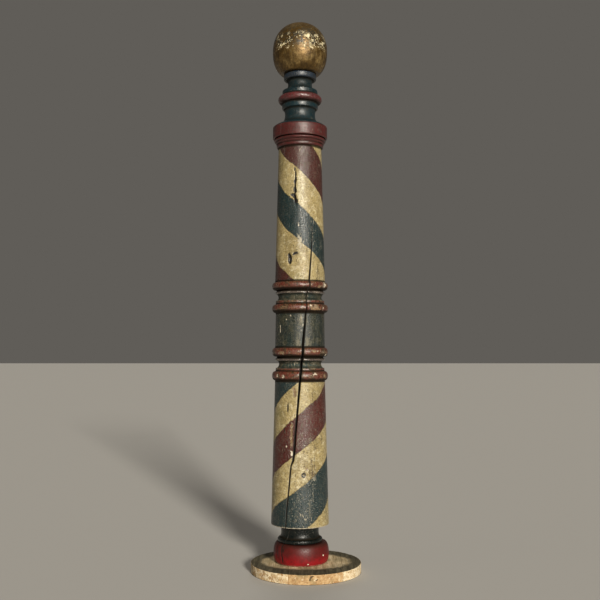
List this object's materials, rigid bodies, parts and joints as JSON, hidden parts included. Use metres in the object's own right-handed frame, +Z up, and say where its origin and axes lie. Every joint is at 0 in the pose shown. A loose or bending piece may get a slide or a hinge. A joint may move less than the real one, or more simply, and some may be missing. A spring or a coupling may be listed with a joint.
{
  "type": "barber pole",
  "caption": "Free-standing turned wooden barber pole: striped tapered post with moulded rings, bun foot, round board base and gilded ball finial.",
  "frame": {"origin": "on the floor, on the axis of the turned post, at the underside of the base", "axes": "+Z up along the post, -Y towards the viewer, +X to the viewer's right"},
  "size_m": [0.37, 0.37, 1.833],
  "materials": {
    "striped_paint": "old oil paint on wood, worn and crazed: ivory ground, burgundy and dark blue stripes, green drum, burgundy mouldings",
    "blue_paint": "dark blue-green oil paint with one burgundy ring, satin",
    "red_paint": "deep red enamel over wood, glossy",
    "gilding": "aged gilding over wood, dark and flaked",
    "bare_board": "weathered softwood board with remains of cream paint on its edge",
    "dowel_wood": "clean birch dowel",
    "zinc_steel": "zinc-plated steel"
  },
  "bodies": {
    "root": {"finial_ball": "gilding", "finial_dowel": "dowel_wood", "neck_spindle": "blue_paint", "post": "striped_paint", "bun_foot": "red_paint", "base_board_left": "bare_board", "base_board_middle": "bare_board", "base_board_right": "bare_board", "base_dowel_1": "dowel_wood", "base_dowel_2": "dowel_wood", "base_dowel_3": "dowel_wood", "base_dowel_4": "dowel_wood", "lag_screw_1": "zinc_steel", "lag_screw_2": "zinc_steel", "lag_screw_3": "zinc_steel", "lag_washer_1": "zinc_steel", "lag_washer_2": "zinc_steel", "lag_washer_3": "zinc_steel"}
  },
  "joints": []
}
